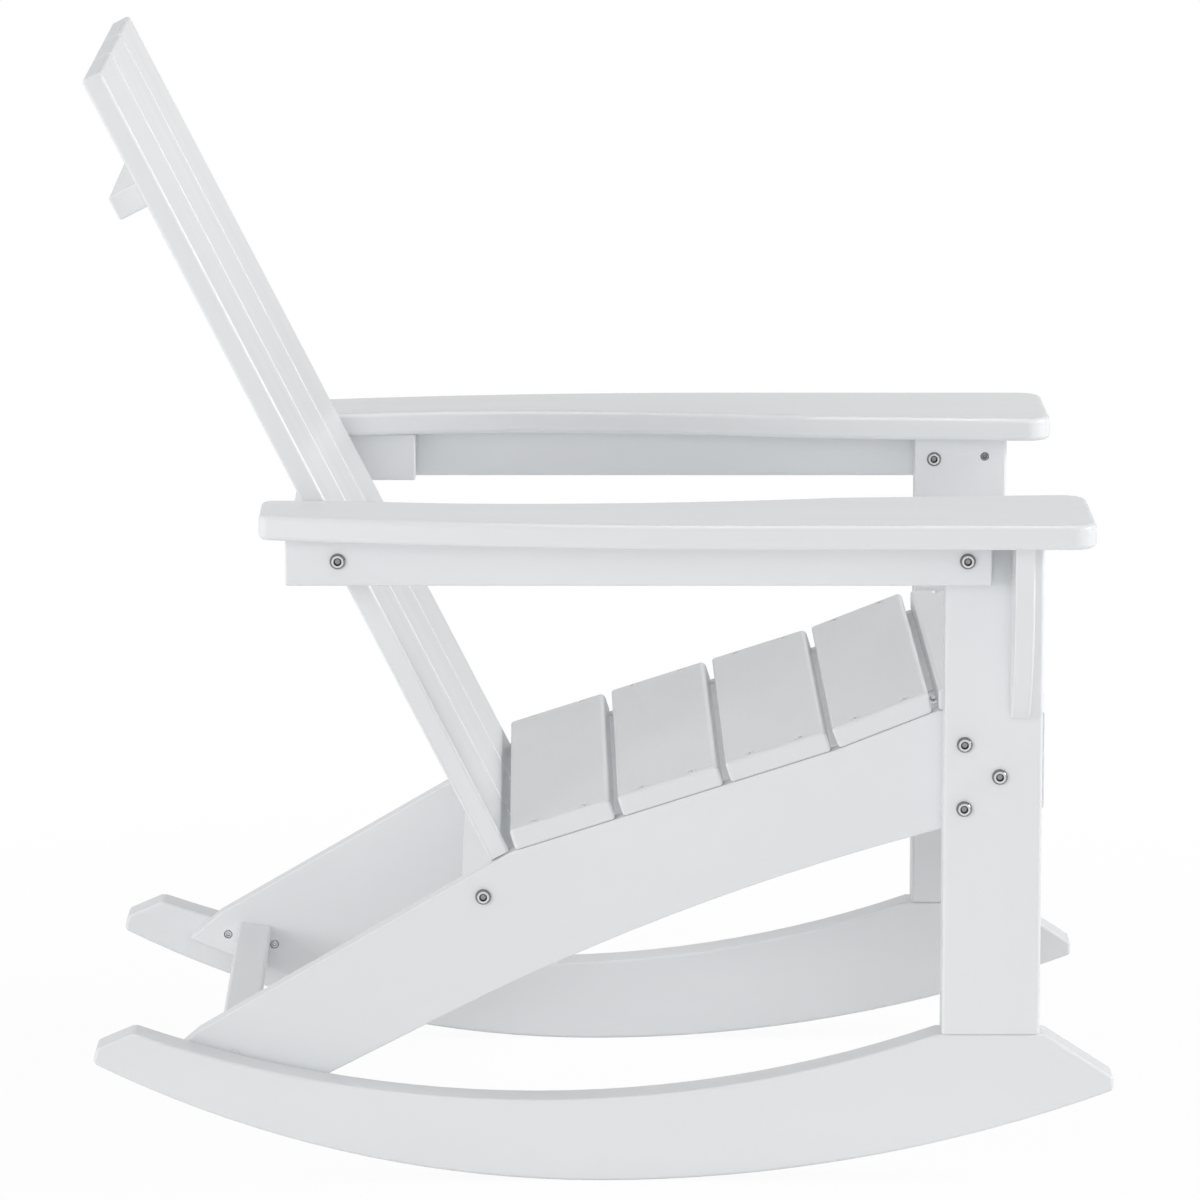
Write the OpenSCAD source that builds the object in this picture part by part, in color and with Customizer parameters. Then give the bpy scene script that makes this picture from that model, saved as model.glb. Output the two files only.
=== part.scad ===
// Rocking garden chair of plastic lumber: slatted seat and raked back
// on two side frames, each a rocker, a front leg, a stringer and an arm.
// The sitter faces -Y, +Z is up, and the origin lies on the floor under
// the middle of the chair's outline.

/* [Frame] */
// Width over the outer faces of the rockers and front legs
frame_w = 573; // [540:1:620]
// Width over the outer edges of the arms
arm_span = 762; // [740:1:800]
// Height of the arms' top faces above the floor
arm_h = 577; // [565:1:600]

/* [Board thicknesses] */
// Rockers and front legs
post_t = 38; // [34:0.5:42]
// Stringers, arms, arm rails and apron
board_t = 21; // [18:0.5:24]
// Seat slats and back slats
slat_t = 18; // [16:0.5:20]
// Blocks and the two thinner back braces
bar_t = 27.5; // [24:0.5:30]
// Rounding of a board's long edges
edge_r = 3; // [1:0.5:4]

/* [Rockers] */
// Length of a rocker from nose to heel
rocker_l = 861; // [840:1:900]
// Height of the board that a rocker is sawn from
rocker_h = 127; // [122:1:134]
// Radius of the rolling edge in front of its lowest point
front_roll_r = 1242; // [1150:1:1350]
// Radius of the rolling edge behind its lowest point
rear_roll_r = 955; // [920:1:1050]
// How far the lowest point lies behind the middle of the rocker
low_point_y = 3; // [0:0.5:12]
// Radius of the hollow in the upper edge
hollow_r = 1028; // [980:1:1080]
// Height of the lowest point of the hollow
hollow_z = 70; // [64:0.5:76]
// How far the hollow's lowest point lies behind the middle
hollow_y = 56.5; // [50:0.5:62]
// Height of the nose's blunt front edge
nose_z = 89.5; // [86:0.5:96]
// Slope of the shoulder behind the nose, in degrees
nose_slope = 33; // [30:1:38]
// Length of the slant at the top of the heel
heel_slant_l = 29; // [20:1:36]
// Drop of the slant at the top of the heel
heel_slant_drop = 12.4; // [8:0.2:16]
// Height of the heel's slanted end face
heel_face_h = 9; // [6:0.5:12]

/* [Front legs] */
// Width of a leg, front to back
leg_w = 82.5; // [76:0.5:90]
// How far a leg's front edge lies ahead of the rocker's middle
leg_reach = 367.5; // [360:0.5:370]

/* [Seat] */
// Height of the level front slat's top face
seat_h = 415.5; // [405:0.5:425]
// Width of one seat slat
seat_slat_w = 89; // [84:0.5:92]
// Gap between neighbouring seat slats
seat_gap = 6.5; // [4:0.5:9]
// Gap between the undersides of the two front slats
ridge_gap = 0.6; // [0.4:0.2:2]
// How far the front slat lies behind the apron's face
front_slat_inset = 0.8; // [0:0.2:3]
// Slope of the second slat from the front, in degrees
knee_tilt = 21.5; // [16:0.5:24]
// Slope of the three rear slats, in degrees
seat_tilt = 17.8; // [15:0.2:20]
// Radius of each slat's upper front edge
seat_nose_r = 5; // [2:0.5:7]
// How far the apron stands in front of the legs
apron_proud = 4; // [1:0.5:8]
// Height of the apron board
apron_h = 84; // [76:0.5:90]

/* [Stringers] */
// Slope of the upper edge behind the seat, in degrees
tail_tilt = 30.2; // [29:0.1:32]
// How much less the lower edge slopes there, in degrees
belly_flare = 3; // [2:0.1:5]
// Radius of the curved lower edge below the seat
belly_r = 2067; // [1900:1:2300]
// Upright depth of the stringer where that curve ends
stringer_depth = 108; // [104:0.5:112]
// How far the end of the curve lies behind the seat
belly_reach = 56; // [48:0.5:64]
// How far the tail stays above the rolling edge
tail_clear = 22; // [18:0.5:26]
// Width of the tail at its blunt end
tail_end_w = 33; // [29:0.5:37]
// How far that end slants back at its foot
tail_end_slant = 16.8; // [12:0.2:20]

/* [Back] */
// Rake of the back from upright, in degrees
back_tilt = 27.2; // [25:0.1:29]
// From the legs' rear edges to the back's front face under the arms
back_reach = 509; // [505:0.5:513]
// Length of a back slat
back_slat_l = 811; // [780:1:840]
// Height of the top of the back
back_top_z = 937; // [915:1:950]
// Width of one back slat
back_slat_w = 157; // [150:0.5:160]
// Gap between neighbouring back slats
back_gap = 4.5; // [3:0.5:6]
// Rounding of the slats' corners, seen from the front
back_corner_r = 4; // [2:0.5:8]
// Width of the two thinner braces, measured along the slats
brace_w = 22; // [19:0.5:26]
// Length of the upper brace
top_brace_l = 444; // [400:1:470]
// Distance of the upper brace below the top of the back
top_brace_drop = 98; // [80:1:120]
// Depth of the lower brace behind the slats
low_brace_d = 31; // [28:0.5:38]
// Height of the lower brace, measured along the slats
low_brace_h = 38; // [34:0.5:42]
// Distance from the slats' rear faces to the bolts in that brace
low_bolt_d = 19; // [14:0.5:20]
// Distance from a slat's lower end to the lower brace's middle
low_brace_rise = 43.5; // [38:0.5:48]

/* [Rear stretcher] */
// Thickness of the stretcher, front to back
stretcher_t = 30; // [26:0.5:33]
// Height of the stretcher
stretcher_h = 38; // [34:0.5:40]
// Tilt of the stretcher, in degrees
stretcher_tilt = 7; // [4:0.5:10]
// How far the stretcher's middle lies ahead of the tail's upper corner
stretcher_setback = 29; // [27:0.5:32]
// Height of the stretcher's middle above the rolling edge
stretcher_rise = 40.3; // [39:0.1:42]

/* [Arms and rails] */
// How far the arms reach in front of the legs
arm_overhang = 38; // [30:1:46]
// Length of an arm
arm_l = 693; // [685:1:705]
// Width of an arm at its front end
arm_front_w = 166; // [158:1:170]
// Rounding of an arm's front corners, seen from above
arm_front_r = 22; // [12:1:30]
// Rounding of an arm's rear corners, seen from above
arm_rear_r = 10; // [6:0.5:14]
// Gap between the back slats and the arms' inner edges
back_clear = 5; // [3:0.5:8]
// Depth of the scoop in an arm's inner edge, beyond that gap
scoop_depth = 17; // [12:0.5:20]
// Length of the straight inner edge behind the scoop
back_edge_l = 71; // [60:1:80]
// Length of the scoop behind its deepest point
scoop_rear_l = 142; // [125:1:155]
// Length of the scoop's curve ahead of that point
scoop_front_l = 270; // [240:1:290]
// Radius of that front curve
scoop_front_r = 1150; // [1050:5:1300]
// Radius of the outer edge's curve towards the back
arm_side_r = 1582; // [1450:2:1800]
// Distance from an arm's front to the start of that curve
arm_straight_l = 290; // [260:1:320]
// Height of an arm rail
rail_h = 42; // [38:0.5:46]
// How far a rail starts behind the leg's front edge
rail_setback = 45; // [40:0.5:50]
// How far a rail stops short of the arm's rear end
rail_inset = 21.5; // [16:0.5:28]
// Length of a block along its lower edge
block_l = 57; // [50:0.5:64]

/* [Arm brackets] */
// Thickness of a bracket, front to back
bracket_t = 16.5; // [14:0.5:20]
// How far a bracket lies behind the leg's front edge
bracket_setback = 11.5; // [8:0.5:14]
// Reach of a bracket out from the leg
bracket_reach = 63.5; // [56:0.5:68]
// Height of a bracket
bracket_h = 156.5; // [150:0.5:166]
// Radius of a bracket's curved edge
bracket_r = 165; // [160:1:175]
// Height of the upright edge above that curve
bracket_lip_h = 36; // [30:1:40]

/* [Fasteners] */
// Diameter of a bolt's shank
bolt_d = 8; // [6:0.5:9]
// Diameter of a bolt's round head
bolt_head_d = 13.2; // [11:0.2:14.5]
// Height of a bolt's head
bolt_head_h = 4.2; // [3:0.1:5]
// Width across flats of the socket in a bolt's head
socket_af = 5; // [4:0.5:6]
// Depth of that socket
socket_depth = 2.6; // [2:0.1:3]
// Diameter of a sleeve nut's flange
nut_flange_d = 12.8; // [12:0.2:14]
// Diameter of a sleeve nut's barrel
nut_barrel_d = 10.6; // [10.2:0.1:11.4]
// Length of a sleeve nut's barrel
nut_barrel_l = 13; // [10:0.5:16]
// Thickness of a sleeve nut's flange
nut_flange_t = 1.5; // [1:0.1:2]
// Diameter of a screw's shank
screw_d = 4.5; // [4:0.1:5.5]
// Diameter of a screw's head
screw_head_d = 7.5; // [7:0.1:9]
// Height of a screw's head
screw_head_h = 3; // [2:0.1:4]
// Depth of the cross recess in a screw's head
recess_depth = 1.6; // [1:0.1:2]
// Width of the cross recess's arms
recess_w = 1.2; // [0.8:0.1:1.6]
// Diameter of the dowels between legs and rockers
dowel_d = 12; // [10:0.5:14]
// Depth of a dowel in each board
dowel_bite = 36; // [30:0.5:40]
// Grip of a screw in the last board it reaches
screw_bite = 14; // [10:0.5:15]

/* [Hidden] */

// Facets of the small rounds and of the long sweeping curves
$fn = 48;
sweep_fn = 480;
// Radial clearance of bolts, nuts and screws in their holes
hole_clear = 0.15;
// A bolt head's upright rim, and the radius of the dome above it
rim_h = 1.4;
dome_h = bolt_head_h - rim_h;
dome_r = (pow(bolt_head_d / 2, 2) + pow(dome_h, 2)) / (2 * dome_h);
// Bolts stop this far short of the sleeve nuts' flanges
nut_play = 1.5;
// Grip of the lower brace's bolts in its ends
brace_bolt_bite = 30;
// Width of a screw's blunt tip
screw_tip_d = 0.6;
// Where a back screw lies between a slat's middle and its edge
back_screw_share = 0.2;
// Clearance between the middle brace's upper corner and the arms
brace_arm_clear = 2.4;
// Clearance between boards that are notched around each other
seat_clear = 0.3;
// How far a cutting tool runs past the board it cuts
overrun = 20;

right = -1;
left = 1;
lumber = [0.91, 0.92, 0.93];
steel = [0.72, 0.73, 0.74];

// Planes across the chair
side_x = frame_w / 2;
inner_x = side_x - post_t;
stringer_in_x = inner_x - board_t;
rail_out_x = side_x + board_t;
seat_w = 2 * inner_x;
back_w = 3 * back_slat_w + 2 * back_gap;

// Places along the chair, measured from the middle of the rockers
nose_y = -rocker_l / 2;
heel_y = rocker_l / 2;
leg_front_y = -leg_reach;
leg_rear_y = leg_front_y + leg_w;
back_y = leg_rear_y + back_reach;
apron_front_y = leg_front_y - apron_proud;
stringer_front_y = apron_front_y + board_t;
arm_front_y = leg_front_y - arm_overhang;
arm_rear_y = arm_front_y + arm_l;
scoop_y = arm_rear_y - back_edge_l - scoop_rear_l;
rail_front_y = leg_front_y + rail_setback;
rail_rear_y = arm_rear_y - rail_inset;
bracket_mid_y = leg_front_y + bracket_setback + bracket_t / 2;

// Heights
arm_under_z = arm_h - board_t;
rail_low_z = arm_under_z - rail_h;
rail_mid_z = arm_under_z - rail_h / 2;
stringer_top_z = seat_h - slat_t;

// Directions in the side view, as [along Y, along Z]
function slope_down(a) = [cos(a), -sin(a)];
back_up = [sin(back_tilt), cos(back_tilt)];
back_out = [cos(back_tilt), -sin(back_tilt)];

// Corners of the seat line, on the stringers' upper edge
seat_pitch = seat_slat_w + seat_gap;
front_slat_rear_y = apron_front_y + front_slat_inset + seat_slat_w;
seat_ridge = [front_slat_rear_y + ridge_gap / 2, stringer_top_z];
seat_knee = seat_ridge + (seat_pitch + (ridge_gap - seat_gap) / 2) * slope_down(knee_tilt);
seat_end = seat_knee + 3 * seat_pitch * slope_down(seat_tilt);

// Where a ray that starts inside a circle meets it
function ray_end(start, ray, c, r) =
  let (lead = ray * (start - c))
  start + (sqrt(pow(lead, 2) + pow(r, 2) - pow(norm(start - c), 2)) - lead) * ray;

// The stringer's tail follows the rolling edge. The upper edge runs straight
// down from the seat to the tail's upper corner.
roll_c = [low_point_y, rear_roll_r];
tail_r = rear_roll_r - tail_clear;
tail_knee = ray_end(seat_end, slope_down(tail_tilt), roll_c, tail_r - tail_end_w);

// The back's front face, its foot, and its rear top corner
back_top = [back_y + (back_top_z - arm_under_z) * tan(back_tilt), back_top_z];
back_foot = back_top - back_slat_l * back_up;
back_rear_top = back_top + slat_t * back_out;

// Middle of each back brace in the side view
top_brace_at = back_rear_top - (top_brace_drop + brace_w / 2) * back_up + bar_t / 2 * back_out;
mid_corner_z = arm_under_z - brace_arm_clear;
mid_corner = [back_y + slat_t / cos(back_tilt) - brace_arm_clear * tan(back_tilt), mid_corner_z];
mid_brace_at = mid_corner - brace_w / 2 * back_up + bar_t / 2 * back_out;
low_brace_at = back_foot + low_brace_rise * back_up + (slat_t + low_brace_d / 2) * back_out;
low_bolt_at = back_foot + low_brace_rise * back_up + (slat_t + low_bolt_d) * back_out;

// Height of the rear rolling edge at a place along the chair
function roll_z(y) = rear_roll_r - sqrt(pow(rear_roll_r, 2) - pow(y - low_point_y, 2));
stretcher_y = tail_knee[0] - stretcher_setback;
stretcher_at = [stretcher_y, roll_z(stretcher_y) + stretcher_rise];

// The outline runs from the rockers' noses to the back's rear top corner
middle_y = (nose_y + back_rear_top[0]) / 2;

// Bolt places in the side view
leg_bolt_inset = 17;
leg_bolt_step_y = 29.7;
leg_bolt_step_z = 27.4;
leg_bolt_drop = 49.3;
leg_bolt_z = stringer_top_z - leg_bolt_drop;
leg_bolts_at = [
  [leg_rear_y - leg_bolt_inset, leg_bolt_z + leg_bolt_step_z],
  [leg_rear_y - leg_bolt_inset - leg_bolt_step_y, leg_bolt_z],
  [leg_rear_y - leg_bolt_inset, leg_bolt_z - leg_bolt_step_z]
];
front_rail_bolt_at = [leg_rear_y - leg_bolt_inset, rail_mid_z];
// The rear bolt stays this far ahead of the block's slanted end
rear_bolt_inset = 11;
block_end_y = back_y + slat_t / cos(back_tilt);
rear_rail_bolt_at = [block_end_y - rail_h / 2 * tan(back_tilt) - rear_bolt_inset, rail_mid_z];
rail_bolts_at = [front_rail_bolt_at, rear_rail_bolt_at];

// Screw places: beside the stretcher, in the bracket and in the boards' ends
tail_rear_dy = 22.5;
tail_rear_dz = 9.4;
tail_front_dy = -19.5;
tail_screws_at = [
  stretcher_at + [tail_rear_dy, tail_rear_dz],
  stretcher_at + [tail_front_dy, 0]
];
bracket_screw_drop = 18.5;
bracket_screw_at = [bracket_mid_y, arm_under_z - bracket_screw_drop];
seat_screw_x = inner_x - board_t / 2;
block_x = side_x - bar_t / 2;
rail_x = side_x + board_t / 2;
leg_x = side_x - post_t / 2;
dowel_ys = [for (s = [-1, 1]) (leg_front_y + leg_rear_y) / 2 + s * leg_w / 4];
arm_screw_shares = [0.2, 0.5, 0.8];
arm_screw_ys = [for (s = arm_screw_shares) rail_front_y + s * (rail_rear_y - rail_front_y)];
apron_screw_shares = [0.3, 0.7];
apron_screw_zs = [for (s = apron_screw_shares) stringer_top_z - s * apron_h];
stretcher_screw_dzs = [for (s = [-1, 1]) s * stretcher_h / 4];

// Puts the chair's middle over the origin
module in_place() {
  translate([0, -middle_y, 0]) children();
}

// Turns a shape drawn for the sitter's left to the wanted side
module on_side(side) {
  mirror([side == right ? 1 : 0, 0, 0]) children();
}

// A board cut to an outline drawn in the side view, from x to x + t
module side_board(x, t) {
  translate([x, 0, 0]) rotate([90, 0, 90]) linear_extrude(t) children();
}

// A rectangle about the origin with its corners rounded
module eased_rect(w, h, r) {
  square([w, h - 2 * r], center = true);
  square([w - 2 * r, h], center = true);
  for (sx = [-1, 1], sy = [-1, 1])
    translate([sx * (w / 2 - r), sy * (h / 2 - r)]) circle(r);
}

// A bar along X, centred, whose section is tilted with its top towards +Y
module cross_bar(l, w, h, at, tilt) {
  translate([-l / 2, at[0], at[1]])
    rotate([-tilt, 0, 0])
      rotate([90, 0, 90])
        linear_extrude(l) eased_rect(w, h, edge_r);
}

// Points of an arc about c, from angle a to angle b
function arc_points(c, r, a, b, n) =
  [for (i = [0 : n]) c + r * [cos(a + (b - a) * i / n), sin(a + (b - a) * i / n)]];

// The points that follow the first, where another arc ends on that one
function after_first(points) = [for (i = [1 : len(points) - 1]) points[i]];

// A round hole along X, from x to x + l
module hole_x(x, l, at, d) {
  translate([x, at[0], at[1]]) rotate([0, 90, 0]) cylinder(h = l, d = d + 2 * hole_clear);
}

// A bolt with a round socket head. The shank points down from z = 0.
module bolt(l) {
  difference() {
    rotate_extrude() {
      intersection() {
        translate([0, bolt_head_h - dome_r]) circle(dome_r, $fn = 2 * $fn);
        square([bolt_head_d / 2, bolt_head_h]);
      }
      translate([0, -l]) square([bolt_d / 2, l + bolt_head_h / 4]);
    }
    translate([0, 0, bolt_head_h - socket_depth])
      cylinder(h = overrun, d = socket_af / cos(30), $fn = 6);
  }
}

// A sleeve nut. The barrel points down from z = 0 around the bolt's end.
module sleeve_nut() {
  difference() {
    union() {
      cylinder(h = nut_flange_t, d = nut_flange_d);
      translate([0, 0, -nut_barrel_l]) cylinder(h = nut_barrel_l, d = nut_barrel_d);
    }
    translate([0, 0, -nut_barrel_l - overrun])
      cylinder(h = nut_barrel_l + overrun, d = bolt_d + 2 * hole_clear);
    cylinder(h = nut_flange_t + overrun, d = socket_af / cos(30), $fn = 6);
  }
}

// A screw whose head top is at z = 0 and whose shank points down
module screw(l) {
  difference() {
    union() {
      translate([0, 0, -screw_head_h]) cylinder(h = screw_head_h, d = screw_head_d);
      translate([0, 0, -l + screw_d]) cylinder(h = l - screw_d, d = screw_d);
      translate([0, 0, -l]) cylinder(h = screw_d, d1 = screw_tip_d, d2 = screw_d);
    }
    for (a = [0, 90])
      rotate([0, 0, a])
        translate([-screw_head_d / 4, -recess_w / 2, -recess_depth])
          cube([screw_head_d / 2, recess_w, overrun]);
  }
}

// The hole that such a screw needs, with a counterbore for its head
module screw_hole(l) {
  translate([0, 0, -l - hole_clear]) cylinder(h = l, d = screw_d + 2 * hole_clear);
  translate([0, 0, -screw_head_h - hole_clear])
    cylinder(h = screw_head_h + overrun, d = screw_head_d + 2 * hole_clear);
}

// The rocker's outline: its blank, the two rolling arcs that share the
// lowest point, and the hollow sawn out of the upper edge
module rocker_outline() {
  shoulder_y = nose_y + (rocker_h - nose_z) / tan(nose_slope);
  heel_face_l = heel_face_h * tan(nose_slope / 2);
  difference() {
    intersection() {
      polygon([
        [nose_y, -overrun],
        [nose_y, nose_z],
        [shoulder_y, rocker_h],
        [heel_y - heel_face_l - heel_slant_l, rocker_h],
        [heel_y - heel_face_l, rocker_h - heel_slant_drop],
        [heel_y, rocker_h - heel_slant_drop - heel_face_h],
        [heel_y, -overrun]
      ]);
      union() {
        intersection() {
          translate([low_point_y, front_roll_r]) circle(front_roll_r, $fn = sweep_fn);
          translate([nose_y - overrun, 0]) square([low_point_y - nose_y + overrun, 2 * rocker_h]);
        }
        intersection() {
          translate([low_point_y, rear_roll_r]) circle(rear_roll_r, $fn = sweep_fn);
          translate([low_point_y, 0]) square([heel_y + overrun, 2 * rocker_h]);
        }
      }
    }
    translate([hollow_y, hollow_z + hollow_r]) circle(hollow_r, $fn = sweep_fn);
  }
}

module rocker(side) {
  color(lumber) on_side(side) difference() {
    side_board(inner_x, post_t) rocker_outline();
    for (y = dowel_ys)
      translate([leg_x, y, rocker_h - dowel_bite - hole_clear])
        cylinder(h = dowel_bite + overrun, d = dowel_d + 2 * hole_clear);
    tail_screw_holes();
  }
}

module front_leg(side) {
  leg_h = arm_under_z - rocker_h;
  color(lumber) on_side(side) difference() {
    translate([leg_x, leg_front_y + leg_w / 2, rocker_h])
      linear_extrude(leg_h) eased_rect(post_t, leg_w, edge_r);
    for (y = dowel_ys)
      translate([leg_x, y, rocker_h - overrun])
        cylinder(h = dowel_bite + overrun + hole_clear, d = dowel_d + 2 * hole_clear);
    for (at = leg_bolts_at) hole_x(inner_x - overrun, post_t + 2 * overrun, at, bolt_d);
    hole_x(inner_x - overrun, post_t + 2 * overrun, front_rail_bolt_at, bolt_d);
    hole_x(inner_x - overrun, nut_barrel_l + hole_clear + overrun, front_rail_bolt_at, nut_barrel_d);
    bracket_screw_hole();
  }
}

// The stringer's outline: the seat line above, a long curve below, and a
// tail that follows the rocker's rolling edge
module stringer_outline() {
  belly_tilt = tail_tilt - belly_flare;
  belly_end = seat_end + belly_reach * [1, -tan(tail_tilt)] - [0, stringer_depth];
  belly_c = belly_end - belly_r * [sin(belly_tilt), cos(belly_tilt)];
  belly_start = acos((stringer_front_y - belly_c[0]) / belly_r);
  tail_start = ray_end(belly_end, slope_down(belly_tilt), roll_c, tail_r) - roll_c;
  knee_turn = atan2(tail_knee[1] - roll_c[1], tail_knee[0] - roll_c[0]);
  tail_turn = 2 * asin(tail_end_slant / 2 / tail_r);
  polygon(concat(
    arc_points(belly_c, belly_r, belly_start, 90 - belly_tilt, 32),
    arc_points(roll_c, tail_r, atan2(tail_start[1], tail_start[0]), knee_turn + tail_turn, 10),
    [tail_knee, seat_end, seat_knee, seat_ridge, [stringer_front_y, stringer_top_z]]
  ));
}

module seat_stringer(side) {
  color(lumber) on_side(side) difference() {
    side_board(stringer_in_x, board_t) stringer_outline();
    for (at = leg_bolts_at) {
      hole_x(stringer_in_x - overrun, board_t + 2 * overrun, at, bolt_d);
      hole_x(stringer_in_x - overrun, nut_barrel_l + hole_clear + overrun, at, nut_barrel_d);
    }
    hole_x(stringer_in_x - overrun, board_t + 2 * overrun, low_bolt_at, bolt_d);
    tail_screw_holes();
    seat_screw_holes();
    apron_screw_holes();
    stretcher_screw_holes();
  }
}

// Places a child on the stringers' upper edge under the middle of a seat
// slat, tilted with it. The slats are numbered from the front.
module on_seat(i) {
  tilt = i == 1 ? 0 : (i == 2 ? knee_tilt : seat_tilt);
  at = i == 1 ? seat_ridge - [(ridge_gap + seat_slat_w) / 2, 0]
    : i == 2 ? seat_ridge + (ridge_gap + seat_slat_w) / 2 * slope_down(knee_tilt)
    : seat_knee + (i - 2.5) * seat_pitch * slope_down(seat_tilt);
  translate([0, at[0], at[1]]) rotate([-tilt, 0, 0]) children();
}

// The front slat's front screws go down into the apron
function seat_screw_ys(i) = [
  i == 1 ? (board_t - seat_slat_w) / 2 - front_slat_inset : -seat_slat_w / 4,
  seat_slat_w / 4
];

// Places a child at each screw of one end of a seat slat
module at_seat_screws(i) {
  on_seat(i)
    for (y = seat_screw_ys(i))
      translate([seat_screw_x, y, slat_t]) children();
}

module seat_screw_holes() {
  for (i = [1 : 5]) at_seat_screws(i) screw_hole(slat_t + screw_bite);
}

module seat_slat(i) {
  color(lumber) difference() {
    on_seat(i)
      translate([-inner_x, 0, slat_t / 2])
        rotate([90, 0, 90])
          linear_extrude(seat_w) difference() {
            eased_rect(seat_slat_w, slat_t, edge_r);
            translate([-seat_slat_w / 2, slat_t / 2]) difference() {
              translate([-seat_nose_r, -seat_nose_r]) square(2 * seat_nose_r);
              translate([seat_nose_r, -seat_nose_r]) circle(seat_nose_r);
              translate([0, -slat_t]) square([slat_t, slat_t - seat_nose_r]);
            }
          }
    for (side = [right, left]) on_side(side) seat_screw_holes();
  }
}

module front_apron() {
  color(lumber) difference() {
    cross_bar(seat_w, board_t, apron_h,
      [apron_front_y + board_t / 2, stringer_top_z - apron_h / 2], 0);
    for (side = [right, left]) on_side(side) {
      apron_screw_holes();
      seat_screw_holes();
    }
  }
}

module rear_stretcher() {
  color(lumber) difference() {
    cross_bar(2 * stringer_in_x, stretcher_t, stretcher_h, stretcher_at, -stretcher_tilt);
    for (side = [right, left]) on_side(side) stretcher_screw_holes();
  }
}

// Lays a child in the back's own frame: Z runs up the slats from their
// foot and Y runs through them to the rear
module on_back() {
  translate([0, back_foot[0], back_foot[1]]) rotate([-back_tilt, 0, 0]) children();
}

// A back slat, from -1 on the right to 1 on the left. The outer two are
// notched to drop between the stringers, and their shoulders sit on top.
module back_slat(place) {
  shoulder_z = (seat_end - back_foot) * back_up + seat_clear;
  color(lumber) difference() {
    on_back() translate([place * (back_slat_w + back_gap), slat_t / 2, 0]) intersection() {
      linear_extrude(back_slat_l) eased_rect(back_slat_w, slat_t, edge_r);
      translate([0, slat_t, back_slat_l / 2])
        rotate([90, 0, 0])
          linear_extrude(2 * slat_t) eased_rect(back_slat_w, back_slat_l, back_corner_r);
    }
    if (place != 0)
      on_side(place) on_back()
        translate([stringer_in_x - seat_clear, -overrun, -overrun])
          cube([board_t + overrun, slat_t + 2 * overrun, shoulder_z + overrun]);
    back_screw_holes();
  }
}

module back_brace_upper() {
  color(lumber) difference() {
    cross_bar(top_brace_l, bar_t, brace_w, top_brace_at, back_tilt);
    back_screw_holes();
  }
}

module back_brace_middle() {
  color(lumber) difference() {
    cross_bar(2 * side_x, bar_t, brace_w, mid_brace_at, back_tilt);
    back_screw_holes();
    for (side = [right, left]) on_side(side) block_screw_hole();
  }
}

module back_brace_lower() {
  color(lumber) difference() {
    cross_bar(2 * stringer_in_x, low_brace_d, low_brace_h, low_brace_at, back_tilt);
    back_screw_holes();
    for (side = [right, left]) on_side(side)
      hole_x(stringer_in_x - brace_bolt_bite - hole_clear, brace_bolt_bite + overrun,
        low_bolt_at, bolt_d);
  }
}

module arm_rail(side) {
  rail_l = rail_rear_y - rail_front_y;
  color(lumber) on_side(side) difference() {
    translate([rail_x, rail_rear_y, rail_mid_z])
      rotate([90, 0, 0])
        linear_extrude(rail_l) eased_rect(board_t, rail_h, edge_r);
    for (at = rail_bolts_at) hole_x(side_x - overrun, board_t + 2 * overrun, at, bolt_d);
    arm_screw_holes();
  }
}

module brace_block(side) {
  low_end_y = block_end_y - rail_h * tan(back_tilt);
  color(lumber) on_side(side) difference() {
    side_board(side_x - bar_t, bar_t) polygon([
      [low_end_y - block_l, rail_low_z],
      [low_end_y, rail_low_z],
      [block_end_y, arm_under_z],
      [low_end_y - block_l, arm_under_z]
    ]);
    hole_x(side_x - bar_t - overrun, bar_t + 2 * overrun, rear_rail_bolt_at, bolt_d);
    hole_x(side_x - bar_t - overrun, nut_barrel_l + hole_clear + overrun,
      rear_rail_bolt_at, nut_barrel_d);
    block_screw_hole();
  }
}

// The arm from above: rounded front, a side that curves in towards the
// back, and an inner edge scooped out for the sitter's hips
function arm_points() =
  let (
    out_x = arm_span / 2,
    in_x = back_w / 2 + back_clear,
    front_in_x = out_x - arm_front_w,
    deep_x = in_x + scoop_depth,
    curve_y = arm_front_y + arm_straight_l,
    rear_y = arm_rear_y - arm_rear_r,
    side_c = [out_x - arm_side_r, curve_y],
    side_end = asin((rear_y - curve_y) / (arm_side_r - arm_rear_r)),
    rear_c = side_c + (arm_side_r - arm_rear_r) * [cos(side_end), sin(side_end)],
    scoop_rear_r = (pow(scoop_rear_l, 2) + pow(scoop_depth, 2)) / (2 * scoop_depth),
    scoop_rear = asin(scoop_rear_l / scoop_rear_r),
    scoop_front = asin(scoop_front_l / scoop_front_r)
  )
  concat(
    arc_points([out_x - arm_front_r, arm_front_y + arm_front_r], arm_front_r, -90, 0, 10),
    arc_points(side_c, arm_side_r, 0, side_end, 24),
    after_first(arc_points(rear_c, arm_rear_r, side_end, 90, 6)),
    arc_points([in_x + arm_rear_r, rear_y], arm_rear_r, 90, 180, 6),
    arc_points([deep_x - scoop_rear_r, scoop_y], scoop_rear_r, scoop_rear, 0, 12),
    after_first(arc_points([deep_x - scoop_front_r, scoop_y], scoop_front_r, 0, -scoop_front, 16)),
    arc_points([front_in_x + arm_front_r, arm_front_y + arm_front_r], arm_front_r, 180, 270, 10)
  );

module arm(side) {
  color(lumber) on_side(side) difference() {
    translate([0, 0, arm_under_z]) linear_extrude(board_t) polygon(arm_points());
    arm_screw_holes();
  }
}

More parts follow.
